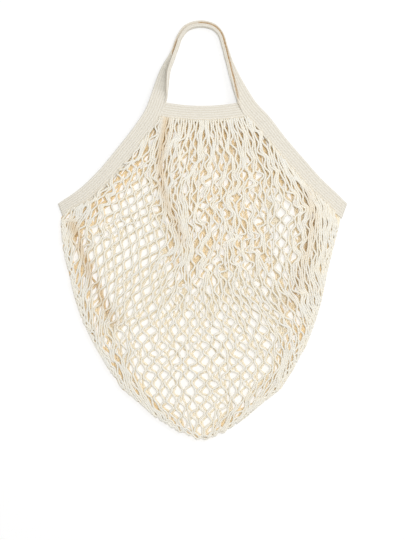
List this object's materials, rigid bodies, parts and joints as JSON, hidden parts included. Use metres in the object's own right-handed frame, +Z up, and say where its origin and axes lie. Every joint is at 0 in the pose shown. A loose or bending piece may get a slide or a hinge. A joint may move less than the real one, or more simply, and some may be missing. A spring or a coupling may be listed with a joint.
{
  "type": "string shopping bag",
  "caption": "Cream cotton net shopping bag lying flat, with knitted edge bands that form two short handles over an open mouth.",
  "frame": {"origin": "on the surface that the bag lies on, under the middle of its outline", "axes": "+Y from the bottom point towards the handles, +Z up out of the bag's front, +X to the right"},
  "size_m": [0.384, 0.557, 0.0182],
  "materials": {
    "net_yarn": "soft twisted cotton yarn",
    "knitted_band": "fine ribbed cotton knit"
  },
  "bodies": {
    "root": {"net_back": "net_yarn", "net_front": "net_yarn", "edge_band_back": "knitted_band", "edge_band_front": "knitted_band", "mouth_band_back": "knitted_band", "mouth_band_front": "knitted_band"}
  },
  "joints": []
}
